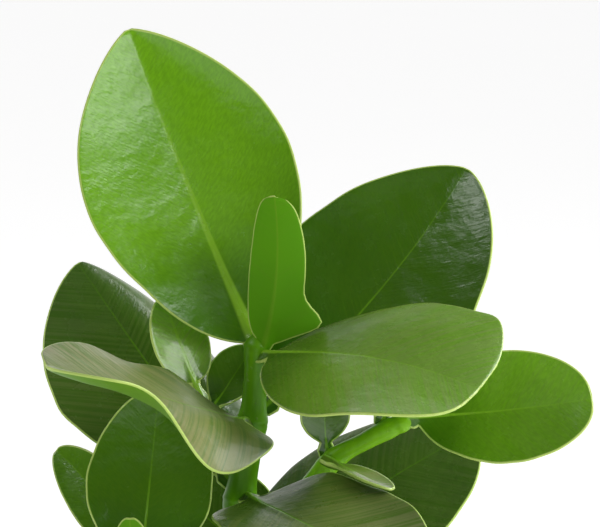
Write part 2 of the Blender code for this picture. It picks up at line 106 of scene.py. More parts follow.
class Finish:
    """A node material for one surface. add() puts in a node and joins what feeds it."""

    def __init__(self, name, **constants):
        self.material = bpy.data.materials.new(name)
        self.material.use_nodes = True
        self.tree = self.material.node_tree
        self.shader = self.tree.nodes["Principled BSDF"]
        for socket, value in constants.items():
            self.shader.inputs[socket.replace("_", " ")].default_value = value

    def feed(self, value, socket):
        if isinstance(value, bpy.types.NodeSocket):
            self.tree.links.new(value, socket)
        else:
            socket.default_value = value

    def add(self, kind, inputs, output=0, **settings):
        node = self.tree.nodes.new("ShaderNode" + kind)
        for name, value in settings.items():
            setattr(node, name, value)
        for socket, value in inputs.items():
            self.feed(value, node.inputs[socket])
        return node.outputs[output]

    def number(self, operation, *values):
        return self.add("Math", dict(enumerate(values)), operation=operation)

    def fade(self, value, start, stop, low=0.0, high=1.0):
        """Goes smoothly from low to high as the value goes from start to stop."""
        inputs = {"Value": value, "From Min": start, "From Max": stop, "To Min": low, "To Max": high}
        return self.add("MapRange", inputs, interpolation_type="SMOOTHSTEP")

    def blend(self, share, one, other):
        """A colour between two, by a share from 0 to 1."""
        return self.add("Mix", {0: share, 6: one, 7: other}, output=2, data_type="RGBA")

    def place(self):
        """Where a point of the piece lies, in metres."""
        return self.add("TexCoord", {}, output="Object")

    def grain(self, scale, where=None, detail=3.0, roughness=0.55):
        """Soft noise. Its scale counts lumps in a metre where it lies on the object's own place."""
        inputs = {"Vector": where or self.place(), "Scale": scale, "Detail": detail, "Roughness": roughness}
        return self.add("TexNoise", inputs)

    def relief(self, height, depth, below=None):
        """A bump of a depth in millimetres, on top of another bump."""
        inputs = {"Height": height, "Distance": depth * MM, "Strength": 1.0}
        if below:
            inputs["Normal"] = below
        return self.add("Bump", inputs)

    def wear(self, colour=None, roughness=None, normal=None):
        """Joins the finished colour, roughness and bump to the surface."""
        for value, socket in ((colour, "Base Color"), (roughness, "Roughness"), (normal, "Normal")):
            if value is not None:
                self.feed(value, self.shader.inputs[socket])
        return self.material


def pale_floor():
    finish = Finish("pale_floor", Roughness=0.9, Emission_Color=(1.0, 1.0, 1.0, 1.0), Emission_Strength=0.84)
    tone = finish.grain(3.0)
    return finish.wear(colour=finish.blend(tone, (0.48, 0.48, 0.48, 1), (0.52, 0.52, 0.515, 1)))


bpy.ops.mesh.primitive_plane_add(size=FLOOR_SIZE, location=(0, 0, -FLOOR_DROP * MM))
floor = bpy.context.object
floor.name = "floor"
floor.data.materials.append(pale_floor())

room = bpy.data.worlds.new("room")
room.use_nodes = True
bpy.context.scene.world = room
nodes, links = room.node_tree.nodes, room.node_tree.links
way = nodes.new("ShaderNodeTexCoord")
split = nodes.new("ShaderNodeSeparateXYZ")
links.new(way.outputs["Generated"], split.inputs[0])
behind = nodes.new("ShaderNodeMapRange")
behind.interpolation_type = "SMOOTHSTEP"
behind.inputs["From Min"].default_value = BACKDROP_SIDES[0]
behind.inputs["From Max"].default_value = BACKDROP_SIDES[1]
links.new(split.outputs["Y"], behind.inputs["Value"])
low = nodes.new("ShaderNodeMapRange")
low.interpolation_type = "SMOOTHSTEP"
low.inputs["From Min"].default_value = BACKDROP_TOP[0]
low.inputs["From Max"].default_value = BACKDROP_TOP[1]
low.inputs["To Min"].default_value = ROOM_DARK
low.inputs["To Max"].default_value = BACKDROP
links.new(split.outputs["Z"], low.inputs["Value"])
strength = nodes.new("ShaderNodeMix")
strength.inputs["A"].default_value = ROOM_DARK
links.new(behind.outputs[0], strength.inputs["Factor"])
links.new(low.outputs[0], strength.inputs["B"])
links.new(strength.outputs[0], nodes["Background"].inputs["Strength"])
nodes["Background"].inputs["Color"].default_value = (1.0, 1.0, 1.0, 1.0)


# Nursery pot
# A plain pot of dark polypropylene, blown thin in a mould, with a stepped rim to lift it by.
# Two shallow bands stiffen its wall, and six holes in its floor let water out.
# The mould leaves a fine orange-peel skin, and watering leaves dust on its rim and foot.
POT_HEIGHT = 122.0
POT_RIM_RADIUS = 76.0
POT_BASE_RADIUS = 54.0
POT_WALL = 2.4
POT_FLOOR = 3.0
RIM_DEPTH = 13.0
RIM_STEP = 2.6
RIM_LEDGE = 0.2  # how much the rim's underside rises outwards
RIM_ROUND = 1.2
RIM_SHOULDER = (0.4, 0.35)  # how far inside and below the rim's corner its rounding passes
BANDS = (18.0, 88.0)  # heights
BAND_WIDTH = 3.5
BAND_SLOPE = 1.0
BAND_PROUD = 0.5
FOOT_CHAMFER = 2.5
POT_SIDES = 144
POT_SHARP = 38  # degrees above which an edge is shaded sharp
DRAIN_HOLES = 6
DRAIN_RADIUS = 5.0
DRAIN_CIRCLE = 36.0
DRAIN_SIDES = 32
DRILL_LENGTH = 20.0
DUSTY_FOOT = 22.0
DUSTY_RIM = 10.0
DUST = 0.35


def wall_radius(height):
    """The outer radius of the pot's wall at a height."""
    share = height / (POT_HEIGHT - RIM_DEPTH)
    return POT_BASE_RADIUS + (POT_RIM_RADIUS - RIM_STEP - POT_BASE_RADIUS) * share


def band(low):
    """Radius and height pairs of a shallow band that stands proud of the wall from a height up."""
    high = low + BAND_WIDTH
    return [
        (wall_radius(low), low),
        (wall_radius(low) + BAND_PROUD, low + BAND_SLOPE),
        (wall_radius(high - BAND_SLOPE) + BAND_PROUD, high - BAND_SLOPE),
        (wall_radius(high), high),
    ]


def pick(*pieces):
    """Selects these pieces and nothing else, with the first one active."""
    bpy.ops.object.select_all(action="DESELECT")
    for piece in pieces:
        piece.select_set(True)
    bpy.context.view_layer.objects.active = pieces[0]


def turned_solid(name, profile, sides):
    """Extrudes a filled circle from ring to ring of a profile of radius and height."""
    radius, height = profile[0]
    bpy.ops.object.select_all(action="DESELECT")
    bpy.ops.mesh.primitive_circle_add(
        vertices=sides, radius=radius * MM, fill_type="NGON", location=(0, 0, height * MM)
    )
    bpy.ops.object.mode_set(mode="EDIT")
    for next_radius, next_height in profile[1:]:
        bpy.ops.mesh.extrude_region_move(
            TRANSFORM_OT_translate={"value": (0, 0, (next_height - height) * MM)}
        )
        scale = next_radius / radius
        bpy.ops.transform.resize(value=(scale, scale, 1), center_override=(0, 0, next_height * MM))
        radius, height = next_radius, next_height
    bpy.ops.mesh.select_all(action="SELECT")
    bpy.ops.mesh.normals_make_consistent(inside=False)
    bpy.ops.object.mode_set(mode="OBJECT")
    bpy.ops.object.transform_apply(location=True, rotation=True, scale=True)
    solid = bpy.context.object
    solid.name = name
    return solid


def pot_plastic():
    finish = Finish("pot_plastic")
    place = finish.place()
    height = finish.add("SeparateXYZ", {"Vector": place}, output="Z")
    patches = finish.grain(35.0, place, detail=5.0)
    foot = finish.fade(height, DUSTY_FOOT * MM, 0.0)
    rim = finish.fade(height, (POT_HEIGHT - DUSTY_RIM) * MM, POT_HEIGHT * MM)
    dusty = finish.number("MULTIPLY", finish.number("ADD", foot, rim), patches)
    dusty = finish.number("MULTIPLY", dusty, DUST)
    plain = finish.blend(patches, (0.030, 0.032, 0.035, 1), (0.045, 0.047, 0.050, 1))
    colour = finish.blend(dusty, plain, (0.16, 0.13, 0.10, 1))
    skin = finish.relief(finish.grain(900.0, place, detail=2.0), 0.05)
    roughness = finish.fade(patches, 0.3, 0.7, 0.42, 0.58)
    return finish.wear(colour=colour, roughness=roughness, normal=skin)


rim_bottom = POT_HEIGHT - RIM_DEPTH
rim_inside = POT_RIM_RADIUS - RIM_STEP - POT_WALL
POT_PROFILE = [
    (POT_BASE_RADIUS - FOOT_CHAMFER, 0),
    (wall_radius(FOOT_CHAMFER), FOOT_CHAMFER),
    *band(BANDS[0]),
    *band(BANDS[1]),
    (wall_radius(rim_bottom), rim_bottom),
    (POT_RIM_RADIUS, rim_bottom + RIM_LEDGE),
    (POT_RIM_RADIUS, POT_HEIGHT - RIM_ROUND),
    (POT_RIM_RADIUS - RIM_SHOULDER[0], POT_HEIGHT - RIM_SHOULDER[1]),
    (POT_RIM_RADIUS - RIM_ROUND, POT_HEIGHT),
    (rim_inside + RIM_ROUND, POT_HEIGHT),
    (rim_inside + RIM_SHOULDER[0], POT_HEIGHT - RIM_SHOULDER[1]),
    (rim_inside, POT_HEIGHT - RIM_ROUND),
    (rim_inside, rim_bottom),
    (wall_radius(POT_FLOOR) - POT_WALL, POT_FLOOR),
]
pot = turned_solid("nursery_pot", POT_PROFILE, POT_SIDES)
for i in range(DRAIN_HOLES):
    angle = 2 * math.pi * (i + 0.5) / DRAIN_HOLES
    spot = Vector((math.cos(angle), math.sin(angle), 0)) * DRAIN_CIRCLE * MM
    bpy.ops.mesh.primitive_cylinder_add(
        vertices=DRAIN_SIDES, radius=DRAIN_RADIUS * MM, depth=DRILL_LENGTH * MM, location=spot
    )
    drill = bpy.context.object
    hole = pot.modifiers.new("drain", "BOOLEAN")
    hole.operation = "DIFFERENCE"
    hole.solver = "EXACT"
    hole.object = drill
    bpy.context.view_layer.objects.active = pot
    bpy.ops.object.modifier_apply(modifier="drain")
    bpy.data.objects.remove(drill)
pick(pot)
bpy.ops.object.shade_smooth_by_angle(angle=math.radians(POT_SHARP))
pot.data.materials.append(pot_plastic())
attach(pot, "root")
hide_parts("pot")


# Potting soil
# Loose peat with chips of bark and a few white beads of perlite, filled to just under the rim.
# It is heaped a little towards the middle, and the stems stand in it.
SOIL_BELOW_RIM = 13.0
SOIL_HEAP = 4.0
SOIL_LUMP = 0.65
SOIL_WAVES = ((1.0, 0.21, 3, 0.0), (0.7, -0.13, 5, 0.0), (0.5, 0.37, -2, 1.0))
SOIL_EVEN = 0.33  # share of the rim's radius over which the lumps fade out towards the middle
SOIL_GAP = 3.0
SOIL_CELLS = 120
SOIL_DEEP = 60.0
SOIL_ROUGH = ((0.09, 0.9), (0.35, 0.45))  # lumps to a millimetre, and how high they stand
CRUMBS = 420
CRUMB_SEED = 11
CRUMB_UNEVEN = 0.35
CRUMB_GRAIN = 1.3
CRUMB_TILT = 0.6  # radians
CRUMB_LIFT = 0.1  # height of a crumb's middle above the soil, as a share of its size
CRUMB_EDGE = 3.0  # how far crumbs stay inside the soil's edge


def soil_height(x, y):
    """The soil's smooth top at a place."""
    radius = math.hypot(x, y)
    angle = math.atan2(y, x)
    share = radius / POT_RIM_RADIUS
    lumps = 0.0
    for size, by_radius, by_angle, first in SOIL_WAVES:
        lumps += size * math.sin(by_radius * radius + by_angle * angle + first)
    level = POT_HEIGHT - SOIL_BELOW_RIM + SOIL_HEAP * (1 - share**2)
    return level + SOIL_LUMP * lumps * min(1, share / SOIL_EVEN)


def soil_roughness(x, y):
    """How far loose soil stands above or below its smooth top."""
    total = 0.0
    for scale, height in SOIL_ROUGH:
        total += height * noise.noise(Vector((x * scale, y * scale, 0.0)))
    return total


def peat():
    finish = Finish("peat", Roughness=0.95)
    place = finish.place()
    damp = finish.grain(60.0, place, detail=4.0)
    fibres = finish.grain(700.0, place, detail=6.0, roughness=0.7)
    dark = finish.blend(damp, (0.022, 0.013, 0.008, 1), (0.050, 0.030, 0.017, 1))
    colour = finish.blend(finish.fade(fibres, 0.5, 0.75), dark, (0.105, 0.065, 0.036, 1))
    return finish.wear(colour=colour, normal=finish.relief(fibres, 0.6))


def bark():
    finish = Finish("bark", Roughness=0.85)
    strips = finish.grain(300.0, detail=5.0)
    colour = finish.blend(strips, (0.055, 0.028, 0.014, 1), (0.17, 0.095, 0.05, 1))
    return finish.wear(colour=colour, normal=finish.relief(strips, 0.4))


def perlite():
    finish = Finish("perlite", Roughness=0.9)
    pores = finish.grain(900.0, detail=3.0)
    colour = finish.blend(pores, (0.50, 0.48, 0.44, 1), (0.78, 0.77, 0.74, 1))
    return finish.wear(colour=colour, normal=finish.relief(pores, 0.3))


soil_edge = wall_radius(POT_HEIGHT - SOIL_BELOW_RIM) - SOIL_GAP
bpy.ops.object.select_all(action="DESELECT")
bpy.ops.mesh.primitive_grid_add(x_subdivisions=SOIL_CELLS, y_subdivisions=SOIL_CELLS, size=2)
soil = bpy.context.object
soil.name = "potting_soil"
for spot in soil.data.vertices:
    across, back = spot.co.x, spot.co.y
    x = across * math.sqrt(1 - back**2 / 2) * soil_edge
    y = back * math.sqrt(1 - across**2 / 2) * soil_edge
    spot.co = Vector((x, y, soil_height(x, y) + soil_roughness(x, y))) * MM
bpy.ops.object.mode_set(mode="EDIT")
bpy.ops.mesh.select_all(action="SELECT")
bpy.ops.mesh.region_to_loop()
bpy.ops.mesh.extrude_edges_move(TRANSFORM_OT_translate={"value": (0, 0, -SOIL_DEEP * MM)})
narrow = (wall_radius(POT_HEIGHT - SOIL_BELOW_RIM - SOIL_DEEP) - SOIL_GAP) / soil_edge
bpy.ops.transform.resize(value=(narrow, narrow, 0), center_override=(0, 0, (POT_HEIGHT - SOIL_DEEP) * MM))
bpy.ops.mesh.edge_face_add()
bpy.ops.mesh.select_all(action="SELECT")
bpy.ops.mesh.normals_make_consistent(inside=False)
bpy.ops.object.mode_set(mode="OBJECT")
bpy.ops.object.shade_smooth()
soil.data.materials.append(peat())
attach(soil, "root")
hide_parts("soil")


def crumb_model(name, stretch, material, seed):
    """One crumb about 1 mm in radius, with an uneven skin."""
    bpy.ops.object.select_all(action="DESELECT")
    bpy.ops.mesh.primitive_ico_sphere_add(subdivisions=1, radius=1.0)
    crumb = bpy.context.object
    crumb.name = name
    for spot in crumb.data.vertices:
        lump = 1 + CRUMB_UNEVEN * noise.noise(spot.co * CRUMB_GRAIN + Vector((seed, 0, 0)))
        spot.co = Vector((spot.co[i] * stretch[i] * lump for i in range(3))) * MM
    crumb.data.materials.append(material)
    return crumb


# Each kind has its model, the least and the most that it is scaled by, and its share of all crumbs.
CRUMB_KINDS = [
    (crumb_model("peat_crumb", (1.0, 1.0, 0.8), peat(), 1.0), 0.6, 1.5, 0.55),
    (crumb_model("bark_chip", (1.9, 1.0, 0.45), bark(), 5.0), 0.9, 2.6, 0.35),
    (crumb_model("perlite_bead", (1.0, 0.9, 0.85), perlite(), 9.0), 0.6, 1.4, 0.10),
]
shares = [share for *_, share in CRUMB_KINDS]
dice = random.Random(CRUMB_SEED)
crumbs = []
for _ in range(CRUMBS):
    model, small, large, _ = dice.choices(CRUMB_KINDS, weights=shares)[0]
    size = dice.uniform(small, large)
    radius = (soil_edge - CRUMB_EDGE) * math.sqrt(dice.random())
    angle = dice.uniform(0, 2 * math.pi)
    x, y = radius * math.cos(angle), radius * math.sin(angle)
    crumb = bpy.data.objects.new(model.name, model.data.copy())
    bpy.context.collection.objects.link(crumb)
    spin = Matrix.Rotation(dice.uniform(0, 2 * math.pi), 4, "Z")
    tilt = Matrix.Rotation(dice.uniform(-CRUMB_TILT, CRUMB_TILT), 4, "X")
    seat = Vector((x, y, soil_height(x, y) + soil_roughness(x, y) + CRUMB_LIFT * size)) * MM
    crumb.data.transform(Matrix.Translation(seat) @ spin @ tilt @ Matrix.Scale(size, 4))
    crumbs.append(crumb)
for model, *_ in CRUMB_KINDS:
    bpy.data.objects.remove(model)
pick(*crumbs)
bpy.ops.object.join()
soil_crumbs = bpy.context.object
soil_crumbs.name = "soil_crumbs"
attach(soil_crumbs, "root")


# Stems
# Three rooted cuttings, green and a little waxy at the top, woody and brown at the foot.
# A ring stays at each node where a pair of leaves grew. The main stem forked into a branch and a shoot.
STEM_STEP = 7.0
NODE_SWELL = 0.9
NODE_REACH = 4.0
CLEARANCE = 0.3
FLATS = 12  # sides of the solid stems that the leaves are seated on
TUBE_SIDES = 36
TUBE_STEP = 1.0
TUBE_FRONT = Vector((0.0, -1.0, 0.2))  # no stem runs this way, so each ring's points are counted from it
TIP_TAPER = 0.85  # how much of its radius the tip has lost at its end
TIP_ROUND = 1.7
WELD = 0.01
SCAR_RIDGE = 0.30
SCAR_GROOVE = 0.8  # depth of the groove, as a share of the ridge's height
SCAR_WIDTH = 0.55
SCAR_ABOVE = 1.4
SCAR_APART = 1.1  # how far the groove runs below the ridge
STEM_CELL = 0.5
STEM_SOFT = 0.5
SOFT_ROUNDS = 3
FRESH_ASIDE = (8.0, 26.0)  # how far left or right of the middle the brighter green starts, and is full
WOODY = (215.0, 135.0)  # heights where bark starts, from the top down, and where it covers the stem
BARK_UNEVEN = 90.0  # how far the bark's start wanders, from lowest to highest
PORES_SHOW = (250.0, 150.0)  # heights where the pores are faintest, and where they show most


class Stem:
    """A round stem through given points, thicker at its leaf nodes, with a growing tip of a length."""

    def __init__(self, points, radii, nodes, tip):
        self.points = [Vector(p) for p in points]
        self.radii = radii
        self.nodes = nodes
        self.tip = tip
        self.samples = self.sampled(STEM_STEP)

    def sampled(self, step):
        """Points a step apart on a smooth curve through the stem's own points."""
        ends = [2 * self.points[0] - self.points[1], *self.points, 2 * self.points[-1] - self.points[-2]]
        found = []
        for i in range(len(self.points) - 1):
            before, start, stop, after = ends[i : i + 4]
            steps = max(2, round((stop - start).length / step))
            for k in range(steps):
                s = k / steps
                point = 0.5 * (
                    2 * start
                    + (stop - before) * s
                    + (2 * before - 5 * start + 4 * stop - after) * s**2
                    + (3 * start - before - 3 * stop + after) * s**3
                )
                found.append((point, self.radii[i] + (self.radii[i + 1] - self.radii[i]) * s))
        found.append((self.points[-1], self.radii[-1]))
        return found

    def at_height(self, height):
        """Centre, direction and radius at a height."""
        for (a, ra), (b, rb) in zip(self.samples, self.samples[1:]):
            if a.z <= height <= b.z:
                rest = (height - a.z) / (b.z - a.z)
                centre = a.lerp(b, rest)
                return centre, (b - a).normalized(), ra + (rb - ra) * rest + self.swell(centre)

    def swell(self, centre):
        """How much thicker the stem is at a point near a leaf node."""
        found = 0.0
        for height in self.nodes:
            found = max(found, math.exp(-(((centre.z - height) / NODE_REACH) ** 2)))
        return NODE_SWELL * found

    def scars(self, centre):
        """The fine ridge and groove that a pair of leaves leaves round the stem."""
        found = 0.0
        for height in self.nodes:
            off = centre.z - height - SCAR_ABOVE
            found += math.exp(-((off / SCAR_WIDTH) ** 2))
            found -= SCAR_GROOVE * math.exp(-(((off + SCAR_APART) / SCAR_WIDTH) ** 2))
        return SCAR_RIDGE * found

    def tube(self, name):
        """Rolls a flat grid up round the stem's curve, welds its seam and closes its ends."""
        rings = self.sampled(TUBE_STEP)
        (before, _), (top, width) = rings[-2:]
        for k in range(self.tip):
            narrower = 1 - TIP_TAPER * ((k + 1) / self.tip) ** TIP_ROUND
            rings.append((top + (top - before).normalized() * (k + 1), width * narrower))
        bpy.ops.object.select_all(action="DESELECT")
        bpy.ops.mesh.primitive_grid_add(x_subdivisions=TUBE_SIDES, y_subdivisions=len(rings) - 1, size=2)
        tube = bpy.context.object
        tube.name = name
        for spot in tube.data.vertices:
            ring = round((spot.co.y + 1) / 2 * (len(rings) - 1))
            angle = math.pi * spot.co.x
            centre, radius = rings[ring]
            low, high = max(0, ring - 1), min(len(rings) - 1, ring + 1)
            along = (rings[high][0] - rings[low][0]).normalized()
            side = along.cross(TUBE_FRONT).normalized()
            back = along.cross(side)
            radius += (self.swell(centre) + self.scars(centre)) * min(1.0, radius / width)
            spot.co = (centre + (side * math.cos(angle) + back * math.sin(angle)) * radius) * MM
        bpy.ops.object.mode_set(mode="EDIT")
        bpy.ops.mesh.select_all(action="SELECT")
        bpy.ops.mesh.remove_doubles(threshold=WELD * MM)
        bpy.ops.mesh.region_to_loop()
        bpy.ops.mesh.edge_face_add()
        bpy.ops.mesh.select_all(action="SELECT")
        bpy.ops.mesh.normals_make_consistent(inside=False)
        bpy.ops.object.mode_set(mode="OBJECT")
        return tube


MAIN = Stem(
    points=[(-5, 2, 52), (-6, 3, 112), (-6, 2, 170), (-3, 1, 228), (0, 0, 272), (4, 0, 298), (5.5, 0, 324)],
    radii=[6.6, 6.4, 6.0, 5.5, 5.0, 4.4, 3.4],
    nodes=[140, 172, 208, 237, 270, 297, 322],
    tip=4,
)
LEFT = Stem(
    points=[(-34, -10, 52), (-36, -13, 112), (-41, -18, 170), (-38, -23, 222), (-34, -24, 252)],
    radii=[5.2, 5.0, 4.6, 4.2, 3.7],
    nodes=[138, 158, 190, 222, 248],
    tip=6,
)
BACK = Stem(
    points=[(24, 22, 52), (26, 25, 112), (27, 33, 165), (22, 41, 205), (18, 45, 232)],
    radii=[5.2, 5.0, 4.4, 3.6, 2.6],
    nodes=[144, 172, 204, 227],
    tip=5,
)
RIGHT_BRANCH = Stem(
    points=[(-2, 1, 240), (9, 1, 258), (29, -2, 283), (42, -4, 292), (55.8, -6, 299.6)],
    radii=[3.4, 3.2, 3.0, 2.9, 2.3],
    nodes=[284, 297],
    tip=2,
)
YOUNG_SHOOT = Stem(
    points=[(2, 2, 281), (-5, 6, 288), (-11, 6, 296), (-13, 5, 303)],
    radii=[2.4, 2.3, 2.2, 2.0],
    nodes=[],
    tip=2,
)


def stem_skin():
    finish = Finish("stem_skin", Specular_IOR_Level=0.25)
    place = finish.place()
    height = finish.add("SeparateXYZ", {"Vector": place}, output="Z")
    aside = finish.number("ABSOLUTE", finish.add("SeparateXYZ", {"Vector": place}, output="X"))
    tall = finish.add("Mapping", {"Vector": place, "Scale": (1.0, 1.0, 0.18)})
    streaks = finish.grain(420.0, tall, detail=4.0)
    patches = finish.grain(70.0, place, detail=3.0)
    pores = finish.fade(finish.grain(520.0, place, detail=1.0), 0.68, 0.76)
    young = finish.blend(streaks, (0.065, 0.225, 0.001, 1), (0.150, 0.400, 0.004, 1))
    fresh = finish.blend(streaks, (0.150, 0.400, 0.004, 1), (0.260, 0.580, 0.012, 1))
    young = finish.blend(finish.fade(aside, *(end * MM for end in FRESH_ASIDE)), young, fresh)
    old = finish.blend(streaks, (0.075, 0.055, 0.028, 1), (0.190, 0.145, 0.080, 1))
    uneven = finish.number("MULTIPLY", finish.number("SUBTRACT", patches, 0.5), BARK_UNEVEN * MM)
    woody = finish.fade(finish.number("ADD", height, uneven), *(end * MM for end in WOODY))
    colour = finish.blend(woody, young, old)
    showing = finish.fade(height, *(end * MM for end in PORES_SHOW), low=0.15, high=0.8)
    dotted = finish.number("MULTIPLY", pores, showing)
    colour = finish.blend(dotted, colour, (0.34, 0.27, 0.17, 1))
    skin = finish.relief(streaks, 0.12)
    skin = finish.relief(pores, 0.10, below=skin)
    roughness = finish.fade(woody, 0.0, 1.0, 0.36, 0.72)
    return finish.wear(colour=colour, roughness=roughness, normal=skin)


stem_material = stem_skin()


def finish_stem(stem, node):
    """Lets parts that grew together run into each other, and gives the stem its skin."""
    pick(stem)
    grown = stem.modifiers.new("grown", "REMESH")
    grown.mode = "VOXEL"
    grown.voxel_size = STEM_CELL * MM
    grown.use_smooth_shade = True
    bpy.ops.object.modifier_apply(modifier="grown")
    soft = stem.modifiers.new("soft", "SMOOTH")
    soft.factor = STEM_SOFT
    soft.iterations = SOFT_ROUNDS
    bpy.ops.object.modifier_apply(modifier="soft")
    bpy.ops.object.shade_smooth()
    stem.data.materials.clear()
    stem.data.materials.append(stem_material)
    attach(stem, "root")
    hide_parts(node)


main_stem = MAIN.tube("green_stem_main")
right_branch = RIGHT_BRANCH.tube("right_branch")
young_shoot = YOUNG_SHOOT.tube("young_shoot")
pick(main_stem, right_branch, young_shoot)
bpy.ops.object.join()
finish_stem(main_stem, "stem_main")
finish_stem(LEFT.tube("green_stem_left"), "stem_left")
finish_stem(BACK.tube("green_stem_back"), "stem_back")


# Leaves of the main stem
# Thick, leathery leaves in opposite pairs, each pair a quarter turn round from the last, shed only when old.
# The blade is one waxy sheet with a sunken midrib, fine side veins and a pale rim with a painted highlight,
# on a short stout stalk.
STALK_HALF_WIDTH = 2.3
STALK_THICKNESS = 3.2
YOUNG_STALK = 0.75  # a young leaf's stalk, as a share of a grown one's
BLADE_THICKNESS = 1.0
BLUNT_TIP = 1.3
THICK_BASE = 0.16  # share of the leaf's length over which the stalk's thickness fades out
FLAT_BASE = 0.25  # share of the leaf's length over which fold and curl grow from nothing
FOLD_FADE = 0.6  # how much of the fold is gone at the tip
NO_CURL = 0.001  # curl in radians under which a half is worked out as straight
CLOSE_ROWS = 0.65  # how far the grid's rows crowd towards the root and the tip
CLOSE_COLUMNS = 0.85  # how far its columns crowd towards the midrib and the rim
FIRST_ROW = 0.001  # a share of the way up the grid that only its first row is under
BLADE_CELLS = (36, 56)  # across and along
YOUNG_CELLS = (24, 30)
BLADE_SHARP = 60  # degrees above which an edge is shaded sharp
ROOT_SUNK = 2.4  # how far the stalk runs into the stem
CLASP_WIDER = 1.7  # how much the stalk's half width grows where it clasps the stem
CLASP_THICKER = 1.3
CLASP_LONG = 2.6
RIB_DEEPER = 0.45
RIDGE_WIDE = 2.3  # half of the width of the thicker part along the midrib, at the root
RIDGE_TAPER = 1.3  # how much of that is gone at the tip
RIB_VALLEY = 0.8  # how deep the blade dips to its midrib at the base
RIB_VALLEY_REACH = 4.5
RIB_WIDE = 1.5  # half of the midrib's width at the base and at the tip
RIB_NARROW = 0.3
RIB_TAPER = 0.3
RIM_ROUNDING = 0.6
STALK_ROUNDING = 1.4  # how much more the rim is rounded in the stalk
RIM_THIN = 0.3
BUCKLE = 0.45
BUCKLE_SCALE = 0.07  # lumps to a millimetre
MARGIN_LUMPS = 7.0  # to a leaf's length
MARGIN_UNEVEN = 0.03
SLOPE_STEP = 0.01
SEEDS = 97  # of the noise in a leaf's shape and skin
VEIN_SLANT = 0.75  # how far up the leaf a side vein climbs for each millimetre outwards
RIM_BAND = (0.60, 0.30)  # how far from the rim its colour starts, and is full
# The rim's colour is partly its own pale green and partly a painted highlight along the edge.
RIM_GREEN_AND_HIGHLIGHT = (0.520, 0.700, 0.160, 1)


